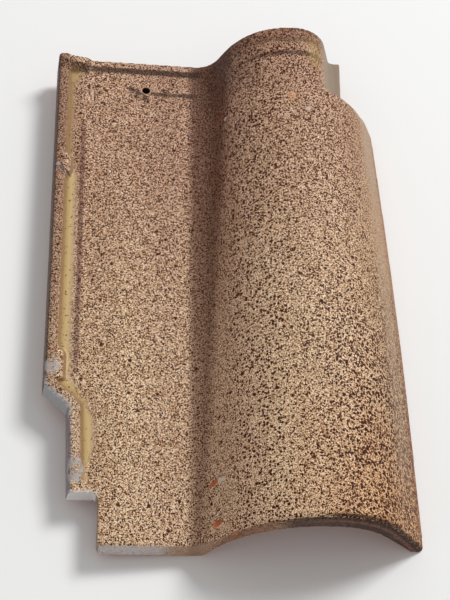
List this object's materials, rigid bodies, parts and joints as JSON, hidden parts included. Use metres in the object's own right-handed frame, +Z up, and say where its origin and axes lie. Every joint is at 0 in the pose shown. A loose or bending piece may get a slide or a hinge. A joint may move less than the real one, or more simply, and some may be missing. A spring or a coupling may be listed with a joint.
{
  "type": "clay roof tile",
  "caption": "Interlocking pan-and-roll roof tile of fired clay with a speckled glaze, a side lock channel, a stepped foot corner and a recessed head.",
  "frame": {"origin": "centre of the tile's footprint, on the floor on which it lies", "axes": "+Y along the roll towards the head, which points up the roof; -Y towards the foot; +X across the tile towards the free edge of the roll; +Z up"},
  "size_m": [0.2516, 0.4, 0.0647],
  "materials": {
    "clay": "speckled beige semi-gloss glaze on the weather side, bare fired clay below"
  },
  "bodies": {
    "root": {"roof_tile": "clay"}
  },
  "joints": []
}
